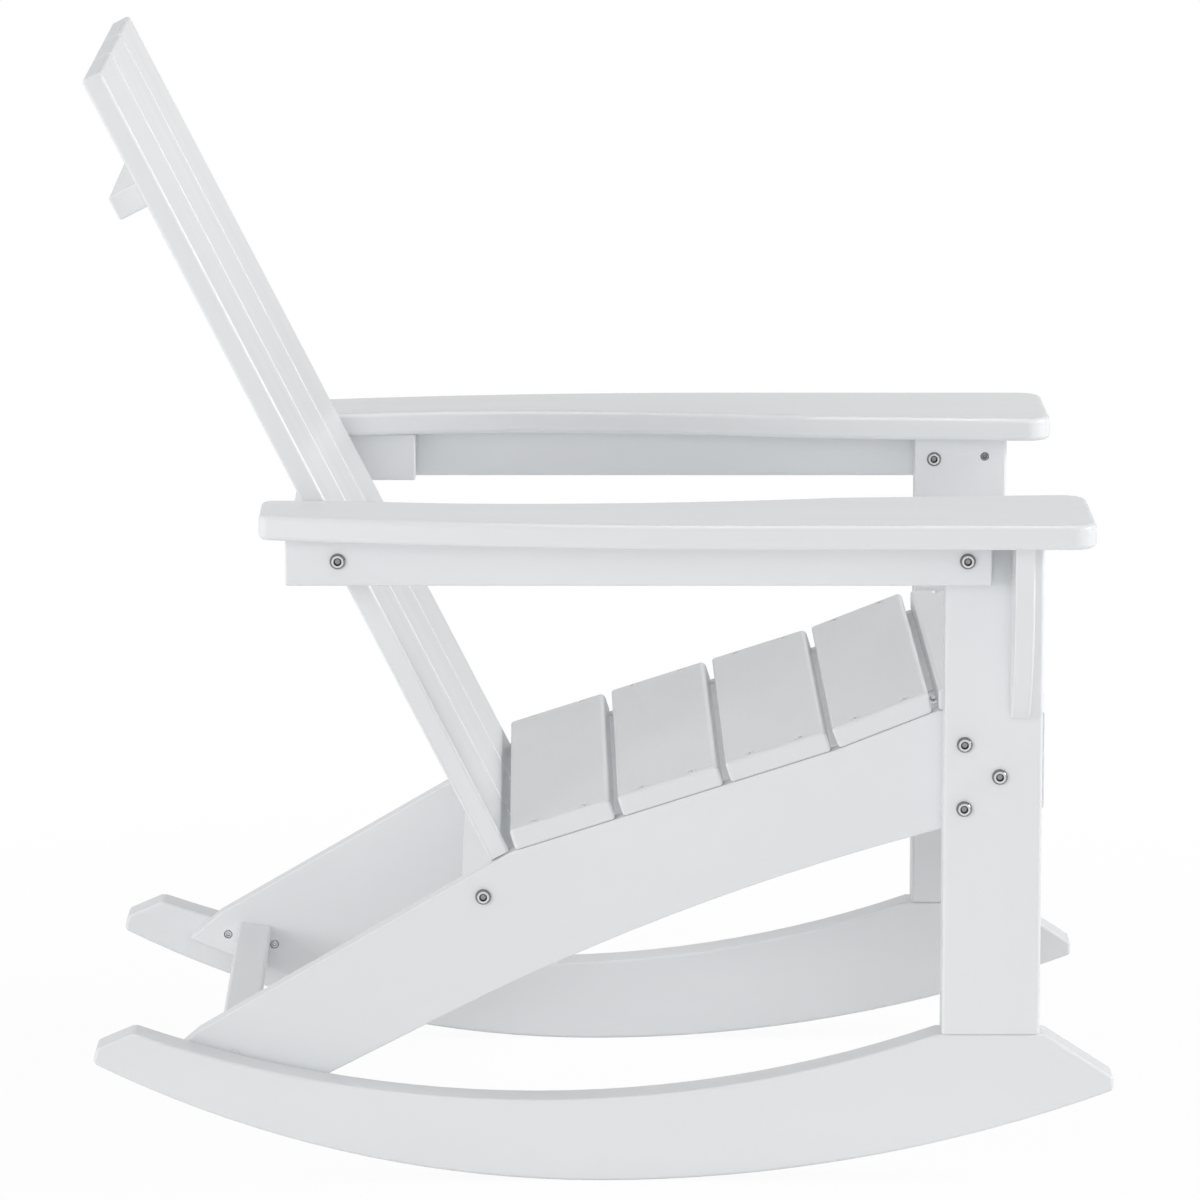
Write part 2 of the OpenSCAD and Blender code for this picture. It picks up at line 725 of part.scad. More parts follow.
module arm_bracket(side) {
  color(lumber) on_side(side) difference() {
    translate([side_x, bracket_mid_y + bracket_t / 2, arm_under_z - bracket_h])
      rotate([90, 0, 0])
        linear_extrude(bracket_t) intersection() {
          square([bracket_reach, bracket_h]);
          union() {
            translate([bracket_reach - bracket_r, bracket_h - bracket_lip_h])
              circle(bracket_r, $fn = sweep_fn);
            translate([0, bracket_h - bracket_lip_h]) square([bracket_reach, bracket_lip_h]);
          }
        }
    bracket_screw_hole();
  }
}

// Turns a fastener so that it is driven in from the outside along -X
module driven_in(x, at) {
  translate([x, at[0], at[1]]) rotate([0, 90, 0]) children();
}

// Turns a fastener so that it is driven outwards along +X
module driven_out(x, at) {
  translate([x, at[0], at[1]]) rotate([0, -90, 0]) children();
}

// Draws a child on both sides of the chair
module both_sides() {
  for (side = [right, left]) on_side(side) children();
}

module leg_bolts() {
  color(steel) both_sides()
    for (at = leg_bolts_at) driven_in(side_x, at) bolt(post_t + board_t - nut_play);
}

module leg_nuts() {
  color(steel) both_sides()
    for (at = leg_bolts_at) driven_out(stringer_in_x, at) sleeve_nut();
}

module rail_bolts() {
  color(steel) both_sides() {
    driven_in(rail_out_x, front_rail_bolt_at) bolt(board_t + post_t - nut_play);
    driven_in(rail_out_x, rear_rail_bolt_at) bolt(board_t + bar_t - nut_play);
  }
}

module rail_nuts() {
  color(steel) both_sides() {
    driven_out(inner_x, front_rail_bolt_at) sleeve_nut();
    driven_out(side_x - bar_t, rear_rail_bolt_at) sleeve_nut();
  }
}

module lower_brace_bolts() {
  color(steel) both_sides() driven_in(inner_x, low_bolt_at) bolt(board_t + brace_bolt_bite);
}

module seat_screws() {
  color(steel) both_sides()
    for (i = [1 : 5]) at_seat_screws(i) screw(slat_t + screw_bite);
}

// Places of the back's screws: two in each slat at each brace, given with
// the brace's depth behind the slat
module at_back_screws() {
  for (row = [[top_brace_at, bar_t], [mid_brace_at, bar_t], [low_brace_at, low_brace_d]])
    for (place = [-1 : 1], share = [-back_screw_share, back_screw_share])
      translate([place * (back_slat_w + back_gap) + share * back_slat_w, row[0][0], row[0][1]])
        rotate([-back_tilt, 0, 0])
          translate([0, row[1] / 2, 0])
            rotate([-90, 0, 0]) {
              $depth = row[1];
              children();
            }
}

module back_screws() {
  color(steel) at_back_screws() screw($depth + screw_bite);
}

module back_screw_holes() {
  at_back_screws() screw_hole($depth + screw_bite);
}

module tail_screws() {
  color(steel) both_sides()
    for (at = tail_screws_at) driven_out(stringer_in_x, at) screw(board_t + screw_bite);
}

module tail_screw_holes() {
  for (at = tail_screws_at) driven_out(stringer_in_x, at) screw_hole(board_t + screw_bite);
}

module bracket_screws() {
  color(steel) both_sides()
    driven_out(inner_x, bracket_screw_at) screw(post_t + 2 * screw_bite);
}

module bracket_screw_hole() {
  driven_out(inner_x, bracket_screw_at) screw_hole(post_t + 2 * screw_bite);
}

// Places a child behind the middle brace, in line with a block
module at_block_screw() {
  translate([block_x, mid_brace_at[0], mid_brace_at[1]])
    rotate([-back_tilt, 0, 0])
      translate([0, bar_t / 2, 0])
        rotate([-90, 0, 0]) children();
}

module block_screws() {
  color(steel) both_sides() at_block_screw() screw(bar_t + screw_bite);
}

module block_screw_hole() {
  at_block_screw() screw_hole(bar_t + screw_bite);
}

// Places a child under the rail at each screw that holds the arm
module at_arm_screws() {
  for (y = arm_screw_ys) translate([rail_x, y, rail_low_z]) rotate([180, 0, 0]) children();
}

module arm_screws() {
  color(steel) both_sides() at_arm_screws() screw(rail_h + screw_bite);
}

module arm_screw_holes() {
  at_arm_screws() screw_hole(rail_h + screw_bite);
}

// Places a child on the apron's face at each screw into a stringer's end
module at_apron_screws() {
  for (z = apron_screw_zs)
    translate([seat_screw_x, apron_front_y, z]) rotate([90, 0, 0]) children();
}

module apron_screws() {
  color(steel) both_sides() at_apron_screws() screw(board_t + screw_bite);
}

module apron_screw_holes() {
  at_apron_screws() screw_hole(board_t + screw_bite);
}

// Places a child outside the stringer at each screw into the stretcher
module at_stretcher_screws() {
  for (dz = stretcher_screw_dzs)
    driven_in(inner_x, stretcher_at + dz * [-sin(stretcher_tilt), cos(stretcher_tilt)]) children();
}

module stretcher_screws() {
  color(steel) both_sides() at_stretcher_screws() screw(board_t + 2 * screw_bite);
}

module stretcher_screw_holes() {
  at_stretcher_screws() screw_hole(board_t + 2 * screw_bite);
}

module foot_dowels() {
  color(steel) both_sides()
    for (y = dowel_ys)
      translate([leg_x, y, rocker_h - dowel_bite]) cylinder(h = 2 * dowel_bite, d = dowel_d);
}

in_place() rocker(right);  // rocker_right
in_place() rocker(left);  // rocker_left
in_place() front_leg(right);  // front_leg_right
in_place() front_leg(left);  // front_leg_left
in_place() seat_stringer(right);  // seat_stringer_right
in_place() seat_stringer(left);  // seat_stringer_left
in_place() seat_slat(1);  // seat_slat_1
in_place() seat_slat(2);  // seat_slat_2
in_place() seat_slat(3);  // seat_slat_3
in_place() seat_slat(4);  // seat_slat_4
in_place() seat_slat(5);  // seat_slat_5
in_place() front_apron();
in_place() rear_stretcher();
in_place() back_slat(-1);  // back_slat_right
in_place() back_slat(0);  // back_slat_middle
in_place() back_slat(1);  // back_slat_left
in_place() back_brace_upper();
in_place() back_brace_middle();
in_place() back_brace_lower();
in_place() arm_rail(right);  // arm_rail_right
in_place() arm_rail(left);  // arm_rail_left
in_place() arm(right);  // arm_right
in_place() arm(left);  // arm_left
in_place() arm_bracket(right);  // arm_bracket_right
in_place() arm_bracket(left);  // arm_bracket_left
in_place() brace_block(right);  // brace_block_right
in_place() brace_block(left);  // brace_block_left
in_place() leg_bolts();
in_place() leg_nuts();
in_place() rail_bolts();
in_place() rail_nuts();
in_place() lower_brace_bolts();
in_place() seat_screws();
in_place() back_screws();
in_place() tail_screws();
in_place() bracket_screws();
in_place() block_screws();
in_place() arm_screws();
in_place() apron_screws();
in_place() stretcher_screws();
in_place() foot_dowels();
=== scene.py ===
"""Dresses the rocking garden chair's packed boards and sets them in a pale studio."""

import math

import bmesh
import bpy
import numpy
from mathutils import Matrix, Vector


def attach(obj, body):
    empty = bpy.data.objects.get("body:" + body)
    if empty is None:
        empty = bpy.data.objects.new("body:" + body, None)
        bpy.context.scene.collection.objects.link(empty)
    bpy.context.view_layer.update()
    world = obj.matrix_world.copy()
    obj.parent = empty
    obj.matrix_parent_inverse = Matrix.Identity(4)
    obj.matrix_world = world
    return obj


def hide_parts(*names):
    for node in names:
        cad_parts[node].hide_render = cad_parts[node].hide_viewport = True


bl_info = {
    "name": "Rocking Garden Chair",
    "version": (1, 0, 0),
    "blender": (4, 5, 0),
    "location": "View3D > Sidebar > Rocking Chair",
    "description": "Dresses a rocking garden chair of plastic lumber in a pale studio",
    "category": "Object",
}

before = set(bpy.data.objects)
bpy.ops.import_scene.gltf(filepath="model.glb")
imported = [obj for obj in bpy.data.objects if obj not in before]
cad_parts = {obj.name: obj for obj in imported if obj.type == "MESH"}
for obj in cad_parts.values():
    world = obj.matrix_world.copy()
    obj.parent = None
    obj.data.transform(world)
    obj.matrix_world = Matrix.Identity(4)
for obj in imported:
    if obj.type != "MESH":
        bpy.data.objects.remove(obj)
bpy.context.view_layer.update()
MM = 0.001
QUARTER_TURN = math.radians(90)
WHITE = (1.0, 1.0, 1.0, 1.0)

SIDES = ("right", "left")
BACK_PLACES = ("right", "middle", "left")
SEAT_SLATS = 5
# The slat just behind the stringers' bend
KNEE_SLAT = 2
# Fasteners whose heads are painted bright all over, with no painted dark rim and paler painted shade in
# the socket
BRIGHT_FASTENERS = ("seat_screws", "leg_nuts", "tail_screws")
# Screws hidden under caps of the lumber's white
CAPPED_SCREWS = "stretcher_screws"

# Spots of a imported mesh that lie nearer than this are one
WELD = 0.01 * MM
# Faces that meet at less than this make one flat face
FLAT = math.radians(0.05)
# Edges that turn by more than this are a board's rims
RIM_TURN = math.radians(25)
# A ring of rims shorter than this goes round a bore, and stays sharp
SHORTEST_RIM = 60 * MM
# Edges that turn by more than this are shaded as sharp
SHARP_TURN = math.radians(35)
# How many flat steps round off an eased edge, and how many go round a fastener
EDGE_STEPS = 4
TURN_STEPS = 28

# Spots within this share of a fastener's length from its foot make the foot's rings
FOOT_SHARE = 0.01
# Spots beyond this share of a fastener's greatest radius make the head's rim
RIM_SHARE = 0.97
# Spots whose radius is within this share of the bore's lie on the bore
BORE_SHARE = 0.02
# A fastener is hollow where its foot's inner ring is under this share of the outer one
HOLLOW_SHARE = 0.95

# The point that the broad lamps face
CHAIR_MIDDLE = (0, 0, 0.45)
# Each lamp's place, what it faces, and its width and height, in metres
LAMPS = {
    "camera_side_lamp": {"at": (-12.0, 0.1, 3.1), "aim": CHAIR_MIDDLE, "size": (4.4, 3.4)},
    "rear_side_lamp": {"at": (-7.0, 7.0, 3.0), "aim": CHAIR_MIDDLE, "size": (4.0, 4.0)},
    "rear_low_lamp": {"at": (-6.0, 5.0, 0.9), "aim": (0, 0.1, 0.3), "size": (2.2, 1.4)},
    "rear_lamp": {"at": (0.0, 6.0, 3.0), "aim": CHAIR_MIDDLE, "size": (3.0, 3.0)},
    "edge_card": {
        "at": (-0.6, -0.2, 3.4), "aim": (0, 0, 0.5), "size": (1.4, 0.6),
        "lights": False, "mirrored": True},
    "front_lamp": {
        "at": (-0.2, -4.2, 2.3), "aim": (0, 0, 0.6), "size": (1.2, 1.2), "mirrored": True},
}


class ChairBoards(bpy.types.PropertyGroup):
    """How the boards' edges are eased, and how the seat and the back lean"""

    edge: bpy.props.FloatProperty(
        name="Board edge",
        description="Radius of the eased edges of the rockers, the seat slats and the back slats",
        default=3.0 * MM, unit="LENGTH")
    arm_edge: bpy.props.FloatProperty(
        name="Arm edge",
        description="Radius of the rounded edges of the arms",
        default=5.0 * MM, unit="LENGTH")
    bracket_edge: bpy.props.FloatProperty(
        name="Bracket edge",
        description="Radius of the eased edges of the arm brackets",
        default=2.4 * MM, unit="LENGTH")
    rail_edge: bpy.props.FloatProperty(
        name="Rail edge",
        description="Radius of the eased edges of the arm rails, the brace blocks and the upper brace",
        default=1.8 * MM, unit="LENGTH")
    stringer_edge: bpy.props.FloatProperty(
        name="Stringer edge",
        description="Radius of the eased edges of the seat stringers",
        default=1.5 * MM, unit="LENGTH")
    bar_edge: bpy.props.FloatProperty(
        name="Leg and bar edge",
        description="Radius of the eased edges of the legs, the apron, the stretcher and lower braces",
        default=0.9 * MM, unit="LENGTH")
    square_height: bpy.props.FloatProperty(
        name="Square foot height",
        description="Height below which the back slats' notched feet stay square",
        default=0.42, unit="LENGTH")
    knee_tilt: bpy.props.FloatProperty(
        name="Second slat tilt",
        description="Slope of the seat just behind the stringers' bend",
        default=math.radians(21.5), subtype="ANGLE")
    knee_cut_top: bpy.props.FloatProperty(
        name="Second slat cut, upper",
        description="How far the second slat's front side is planed back at its top",
        default=1.5 * MM, unit="LENGTH")
    knee_cut_foot: bpy.props.FloatProperty(
        name="Second slat cut, lower",
        description="How far the second slat's front side is planed back at its foot",
        default=4.5 * MM, unit="LENGTH")
    back_tilt: bpy.props.FloatProperty(
        name="Back tilt",
        description="Rake of the back from upright",
        default=math.radians(27.2), subtype="ANGLE")
    stringer_tilt: bpy.props.FloatProperty(
        name="Stringer tilt",
        description="Slope of the stringers' run towards the heel",
        default=math.radians(24.0), subtype="ANGLE")


class ChairHardware(bpy.types.PropertyGroup):
    """Shape of the fasteners' heads, in shares of a head's radius, and the tones of painted shade on
    their rims, sockets and shanks
    """

    # Radii and depth of a head's crown, which also set where its painted bright ring ends and the
    # painted shade of the socket begins
    ring_out: bpy.props.FloatProperty(
        name="Polished ring, outside",
        description="Outer edge of the polished ring on a head",
        default=0.76, min=0.0, max=1.0, subtype="FACTOR")
    ring_in: bpy.props.FloatProperty(
        name="Polished ring, inside",
        description="Mouth of the socket inside the polished ring",
        default=0.50, min=0.0, max=1.0, subtype="FACTOR")
    socket: bpy.props.FloatProperty(
        name="Socket floor",
        description="Radius of the socket's floor",
        default=0.36, min=0.0, max=1.0, subtype="FACTOR")
    socket_depth: bpy.props.FloatProperty(
        name="Socket depth",
        description="Depth of the socket below the head's crown",
        default=0.32, min=0.0, max=1.0, subtype="FACTOR")
    # Tones painted on the heads: 1 is the steel's own colour, lower tones paint shade onto rims,
    # sockets and shanks
    bolt_ring_painted_tone: bpy.props.FloatProperty(
        name="Bolt polish",
        description="How polished the ring on a bolt or a plain nut is, from 0 to 1",
        default=1.0, min=0.0, max=1.0, subtype="FACTOR")
    screw_ring_painted_tone: bpy.props.FloatProperty(
        name="Screw polish",
        description="How polished the ring on a plain screw is, from 0 to 1",
        default=0.45, min=0.0, max=1.0, subtype="FACTOR")
    rim_painted_tone: bpy.props.FloatProperty(
        name="Rim polish",
        description="How polished the rim round a plain head's ring is, from 0 to 1",
        default=0.28, min=0.0, max=1.0, subtype="FACTOR")
    shank_painted_tone: bpy.props.FloatProperty(
        name="Shank polish",
        description="How polished a fastener's shank is, from 0 to 1",
        default=0.1, min=0.0, max=1.0, subtype="FACTOR")
    socket_painted_tone: bpy.props.FloatProperty(
        name="Socket polish",
        description="How polished a plain head's socket is, from 0 to 1",
        default=0.08, min=0.0, max=1.0, subtype="FACTOR")
    bright_head_painted_tone: bpy.props.FloatProperty(
        name="Bright polish",
        description="How polished the ring and rim of a seat screw, tail screw or leg nut are",
        default=0.95, min=0.0, max=1.0, subtype="FACTOR")
    bright_socket_painted_tone: bpy.props.FloatProperty(
        name="Bright socket polish",
        description="How polished the socket of a seat screw, tail screw or leg nut is",
        default=0.6, min=0.0, max=1.0, subtype="FACTOR")


class ChairFinish(bpy.types.PropertyGroup):
    """Colours and roughness of the plastic lumber and the fasteners"""

    white: bpy.props.FloatVectorProperty(
        name="Lumber",
        description="Colour of the plastic lumber",
        default=(0.845, 0.857, 0.872), subtype="COLOR", size=3)
    shade: bpy.props.FloatVectorProperty(
        name="Lumber mottle",
        description="Colour of the lumber's slightly darker clouds",
        default=(0.825, 0.840, 0.857), subtype="COLOR", size=3)
    core: bpy.props.FloatVectorProperty(
        name="Sawn end",
        description="Colour of the core where a board is sawn through",
        default=(0.812, 0.825, 0.84), subtype="COLOR", size=3)
    # Dark colour that paints shade on the fasteners' rims and in their sockets
    rim: bpy.props.FloatVectorProperty(
        name="Steel rim",
        description="Colour of the fasteners' unpolished rims and sockets",
        default=(0.06, 0.06, 0.065), subtype="COLOR", size=3)
    steel: bpy.props.FloatVectorProperty(
        name="Steel",
        description="Colour of the stainless fasteners",
        default=(0.88, 0.88, 0.89), subtype="COLOR", size=3)
    skin_roughness: bpy.props.FloatProperty(
        name="Lumber roughness",
        description="Roughness of the lumber's skin at its smoothest",
        default=0.19, min=0.0, max=1.0, subtype="FACTOR")
    sawn_roughness: bpy.props.FloatProperty(
        name="Sawn roughness",
        description="How much rougher a sawn end is than the skin",
        default=0.24, min=0.0, max=1.0, subtype="FACTOR")
    steel_roughness: bpy.props.FloatProperty(
        name="Steel roughness",
        description="Roughness of the fasteners at their smoothest",
        default=0.20, min=0.0, max=1.0, subtype="FACTOR")


class ChairStudio(bpy.types.PropertyGroup):
    """The camera, lamps, floor and sky of the pale studio"""

    camera_at: bpy.props.FloatVectorProperty(
        name="Camera place",
        description="Where the camera stands",
        default=(-6.767, 0.0606, 1.6205), subtype="XYZ", unit="LENGTH", size=3)
    camera_drop: bpy.props.FloatProperty(
        name="Camera elevation",
        description="How far the camera looks down",
        default=math.radians(9.82), subtype="ANGLE")
    sensor: bpy.props.FloatProperty(
        name="Sensor",
        description="Width of the camera's sensor, in millimetres",
        default=36.0, unit="CAMERA")
    lens: bpy.props.FloatProperty(
        name="Lens",
        description="Focal length of the camera, in millimetres",
        default=236.2, unit="CAMERA")
    shift_x: bpy.props.FloatProperty(
        name="Shift",
        description="Sideways shift of the picture, as a share of its width",
        default=0.0593)
    camera_side_lamp: bpy.props.FloatProperty(
        name="Side lamp",
        description="Power of the broad lamp behind the camera, in watts",
        default=160.0, unit="POWER")
    rear_side_lamp: bpy.props.FloatProperty(
        name="Rear side lamp",
        description="Power of the broad lamp at the camera's left, in watts",
        default=150.0, unit="POWER")
    rear_low_lamp: bpy.props.FloatProperty(
        name="Low rear lamp",
        description="Power of the low lamp at the camera's left that reaches under the seat, in watts",
        default=55.0, unit="POWER")
    rear_lamp: bpy.props.FloatProperty(
        name="Rear lamp",
        description="Power of the lamp behind the back, in watts",
        default=90.0, unit="POWER")
    front_lamp: bpy.props.FloatProperty(
        name="Front lamp",
        description="Power of the lamp in front of the sitter, in watts",
        default=104.0, unit="POWER")
    edge_card: bpy.props.FloatProperty(
        name="Edge card",
        description="Power of the card overhead that only shows mirrored in the surfaces, in watts",
        default=24.0, unit="POWER")
    floor_reach: bpy.props.FloatProperty(
        name="Floor reach",
        description="How far the floor spreads on each side of the chair",
        default=14.0, unit="LENGTH")
    floor_tone: bpy.props.FloatVectorProperty(
        name="Floor",
        description="Colour of the floor",
        default=(0.92, 0.92, 0.92), subtype="COLOR", size=3)
    floor_glow: bpy.props.FloatProperty(
        name="Floor glow",
        description="How much of the floor near the chair is plain white to the camera, from 0 to 1",
        default=0.95, min=0.0, max=1.0, subtype="FACTOR")
    shadow_reach: bpy.props.FloatProperty(
        name="Shadow reach",
        description="Distance from the chair's middle at which its shadow begins to fade",
        default=0.7, unit="LENGTH")
    shadow_end: bpy.props.FloatProperty(
        name="Shadow end",
        description="Distance from the chair's middle at which nothing is left of its shadow",
        default=1.5, unit="LENGTH")
    sky: bpy.props.FloatProperty(
        name="Sky",
        description="Strength of the even light from all round",
        default=0.445)
    sheen: bpy.props.FloatProperty(
        name="Sheen",
        description="Strength of the sky as glossy surfaces mirror it",
        default=0.75)


class Wire:
    """A shader socket that takes part in Python arithmetic"""

    def __init__(self, tree, socket):
        self.tree = tree
        self.socket = socket

    def maths(self, operation, *values):
        """Adds a Math node that takes wires and plain numbers"""
        node = self.tree.nodes.new("ShaderNodeMath")
        node.operation = operation
        for entry, value in zip(node.inputs, values):
            if isinstance(value, Wire):
                self.tree.links.new(value.socket, entry)
            else:
                entry.default_value = value
        return Wire(self.tree, node.outputs[0])

    def __add__(self, other):
        return self.maths("ADD", self, other)

    def __sub__(self, other):
        return self.maths("SUBTRACT", self, other)

    def __mul__(self, other):
        return self.maths("MULTIPLY", self, other)

    def __truediv__(self, other):
        return self.maths("DIVIDE", self, other)

    def __radd__(self, other):
        return self.maths("ADD", other, self)

    def __rsub__(self, other):
        return self.maths("SUBTRACT", other, self)

    def __rmul__(self, other):
        return self.maths("MULTIPLY", other, self)

    def __abs__(self):
        return self.maths("ABSOLUTE", self)

    def over(self, low, high):
        """0 below low, 1 above high, and a straight ramp between them"""
        ramp = (self - low) / (high - low)
        return self.maths("MAXIMUM", self.maths("MINIMUM", ramp, 1), 0)


class Paint:
    """The nodes of a material or a world being mixed"""

    def __init__(self, owner, output="ShaderNodeOutputMaterial"):
        owner.use_nodes = True
        self.owner = owner
        self.tree = owner.node_tree
        self.tree.nodes.clear()
        self.output = self.tree.nodes.new(output)

    def node(self, kind, settings=None, inputs=None, output=0):
        """Adds a node, sets it up, links its sockets and returns one output"""
        node = self.tree.nodes.new(kind)
        for key, value in (settings or {}).items():
            setattr(node, key, value)
        for key, value in (inputs or {}).items():
            if isinstance(value, Wire):
                self.tree.links.new(value.socket, node.inputs[key])
            else:
                node.inputs[key].default_value = value
        return Wire(self.tree, node.outputs[output])

    def noise(self, place, waves, detail, roughness=0.5):
        """Noise with about so many waves a metre along each axis"""
        stretched = self.node("ShaderNodeMapping", inputs={"Vector": place, "Scale": waves})
        return self.node("ShaderNodeTexNoise", inputs={
            "Vector": stretched, "Scale": 1.0, "Detail": detail, "Roughness": roughness})

    def mix(self, share, low, high):
        """A colour between low and high"""
        return self.node("ShaderNodeMix", {"data_type": "RGBA"}, {
            0: share, 6: rgba(low), 7: rgba(high)}, output=2)

    def finished(self, shader):
        """The material or world, with this shader as its surface"""
        self.tree.links.new(shader.socket, self.output.inputs["Surface"])
        return self.owner


def rgba(colour):
    """A plain colour with its alpha, or a mixed colour as it is"""
    return colour if isinstance(colour, Wire) else (*colour, 1.0)


def lumber(name, tilt):
    """Satin plastic lumber whose faint drawn lines run along local X after the tilt"""
    finish = bpy.context.scene.chair_finish
    paint = Paint(bpy.data.materials.new(name))
    run = paint.node("ShaderNodeMapping", inputs={
        "Vector": paint.node("ShaderNodeTexCoord", output="Object"), "Rotation": tilt})
    clouds = paint.noise(run, waves=(3, 11, 11), detail=4.0, roughness=0.55)
    lines = paint.noise(run, waves=(14, 620, 620), detail=3.0, roughness=0.6)
    grit = paint.noise(run, waves=(1500, 1500, 1500), detail=2.0)
    swell = paint.noise(run, waves=(5, 22, 22), detail=1.0)
    saw_marks = paint.node("ShaderNodeTexWave", {"wave_type": "BANDS", "bands_direction": "DIAGONAL"}, {
        "Vector": run, "Scale": 190.0, "Distortion": 1.6, "Detail": 2.0, "Detail Scale": 3.0})

    facing = paint.node("ShaderNodeMapping", {"vector_type": "NORMAL"}, {
        "Vector": paint.node("ShaderNodeTexCoord", output="Normal"), "Rotation": tilt})
    end_on = abs(paint.node("ShaderNodeSeparateXYZ", inputs={0: facing}, output=0))
    sawn = end_on.over(low=0.80, high=0.97)

    mark_share = 0.25
    skin_colour = paint.mix(clouds.over(low=0.38, high=0.66), finish.shade, finish.white)
    colour = paint.mix(sawn * (1 - mark_share + mark_share * saw_marks), skin_colour, finish.core)

    cloud_roughness = 0.05
    line_roughness = 0.03
    roughness = (
        finish.skin_roughness + cloud_roughness * clouds + line_roughness * lines
        + finish.sawn_roughness * sawn)

    line_height = 0.35
    skin_grit = 0.25
    mark_height = 0.45
    sawn_grit = 0.35
    skin_height = line_height * lines + skin_grit * grit
    sawn_height = mark_height * saw_marks + sawn_grit * grit
    wavy = paint.node("ShaderNodeBump", inputs={
        "Strength": 0.20, "Distance": 1.2 * MM, "Height": swell})
    normal = paint.node("ShaderNodeBump", inputs={
        "Strength": 0.09, "Distance": 0.12 * MM,
        "Height": skin_height * (1 - sawn) + sawn_height * sawn, "Normal": wavy})
    return paint.finished(paint.node("ShaderNodeBsdfPrincipled", inputs={
        "Base Color": colour, "Roughness": roughness, "Normal": normal,
        "Specular IOR Level": 0.5, "IOR": 1.5}))


def stainless(name):
    """Stainless steel, faintly brushed, with painted shade on the heads' rims and in their sockets"""
    finish = bpy.context.scene.chair_finish
    paint = Paint(bpy.data.materials.new(name))
    place = paint.node("ShaderNodeTexCoord", output="Object")
    patches = paint.noise(place, waves=(420, 420, 420), detail=3.0)
    brushing = paint.noise(place, waves=(300, 4000, 300), detail=2.0)
    # Each fastener's spots carry a painted tone: 1 is the steel's own colour, lower tones paint shade
    shine = paint.node("ShaderNodeAttribute", {"attribute_name": "shine"}, output="Fac")

    least_shine = 0.88
    patch_shine = 0.24
    # Share of the steel colour against the dark painted shade, varied a little by random patches
    painted_bright = shine * (least_shine + patch_shine * patches)
    patch_roughness = 0.14
    roughness = finish.steel_roughness + patch_roughness * patches
    normal = paint.node("ShaderNodeBump", inputs={
        "Strength": 0.2, "Distance": 0.06 * MM, "Height": brushing})
    return paint.finished(paint.node("ShaderNodeBsdfPrincipled", inputs={
        "Base Color": paint.mix(painted_bright, finish.rim, finish.steel), "Metallic": 1.0,
        "Roughness": roughness, "Normal": normal}))


FINISHES = {}


def finish_named(name):
    """One of the chair's materials, each made once"""
    boards = bpy.context.scene.chair_boards
    tilts = {
        "lumber_across": (0, 0, 0),
        "lumber_along": (0, 0, -QUARTER_TURN),
        "lumber_upright": (0, QUARTER_TURN, 0),
        "lumber_raked": (boards.back_tilt, QUARTER_TURN, 0),
        "lumber_sloped": (boards.stringer_tilt, 0, -QUARTER_TURN),
        "capped": (0, 0, 0),
    }
    if name not in FINISHES:
        FINISHES[name] = lumber(name, tilts[name]) if name in tilts else stainless(name)
    return FINISHES[name]


def packed(node):
    """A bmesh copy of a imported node, its loose triangles joined at their corners"""
    mesh = bmesh.new()
    mesh.from_mesh(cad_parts[node].data)
    bmesh.ops.remove_doubles(mesh, verts=mesh.verts, dist=WELD)
    return mesh


def rims(mesh, above):
    """The board's sharp edges that reach above a height, without the short rings round its bores"""
    beside = {}
    for edge in mesh.edges:
        if edge.calc_face_angle(0.0) > RIM_TURN:
            for vert in edge.verts:
                beside.setdefault(vert, set()).add(edge)
    found = []
    while beside:
        ring = set()
        reached = [next(iter(beside))]
        while reached:
            edges = beside.pop(reached.pop(), set())
            ring |= edges
            reached += [vert for edge in edges for vert in edge.verts if vert in beside]
        if sum(edge.calc_length() for edge in ring) > SHORTEST_RIM:
            found += [edge for edge in ring if max(vert.co.z for vert in edge.verts) > above]
    return sorted(found, key=lambda edge: edge.index)


def add_piece(node, mesh, material, slot="lumber"):
    """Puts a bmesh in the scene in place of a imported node, on the chair's one body"""
    name = node.replace("_", "-")
    data = bpy.data.meshes.new(name)
    mesh.to_mesh(data)
    mesh.free()
    data.set_sharp_from_angle(angle=SHARP_TURN)
    for face in data.polygons:
        face.use_smooth = True
    data.materials.append(finish_named(material))
    piece = bpy.data.objects.new(name, data)
    bpy.context.scene.collection.objects.link(piece)
    weighted = piece.modifiers.new("even_faces", "WEIGHTED_NORMAL")
    weighted.keep_sharp = True
    weighted.use_face_influence = slot == "lumber"
    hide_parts(node)
    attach(piece, "root")
    return piece


def ease_board(node, material, radius, above=-math.inf):
    """Puts a packed board in the scene with its rims that reach above a height rounded over"""
    mesh = packed(node)
    bmesh.ops.dissolve_limit(mesh, angle_limit=FLAT, verts=mesh.verts, edges=mesh.edges)
    bmesh.ops.bevel(
        mesh, geom=rims(mesh, above), offset=radius, offset_type="OFFSET", affect="EDGES",
        segments=EDGE_STEPS, profile=0.5, material=-1, clamp_overlap=False, face_strength_mode="ALL")
    return add_piece(node, mesh, material)


def plane_front(piece, tilt, cut_top, cut_foot, reach):
    """Planes a sloping slat's front side back, by one amount at its top and another at its foot"""
    mesh = bmesh.new()
    mesh.from_mesh(piece.data)
    down = Vector((0, math.cos(tilt), -math.sin(tilt)))
    up = Vector((0, math.sin(tilt), math.cos(tilt)))
    front = min(vert.co @ down for vert in mesh.verts)
    foot = min(vert.co @ up for vert in mesh.verts)
    top = max(vert.co @ up for vert in mesh.verts)
    for vert in mesh.verts:
        if vert.co @ down < front + reach:
            height = (vert.co @ up - foot) / (top - foot)
            vert.co += down * (cut_foot + (cut_top - cut_foot) * height)
    mesh.to_mesh(piece.data)
    mesh.free()


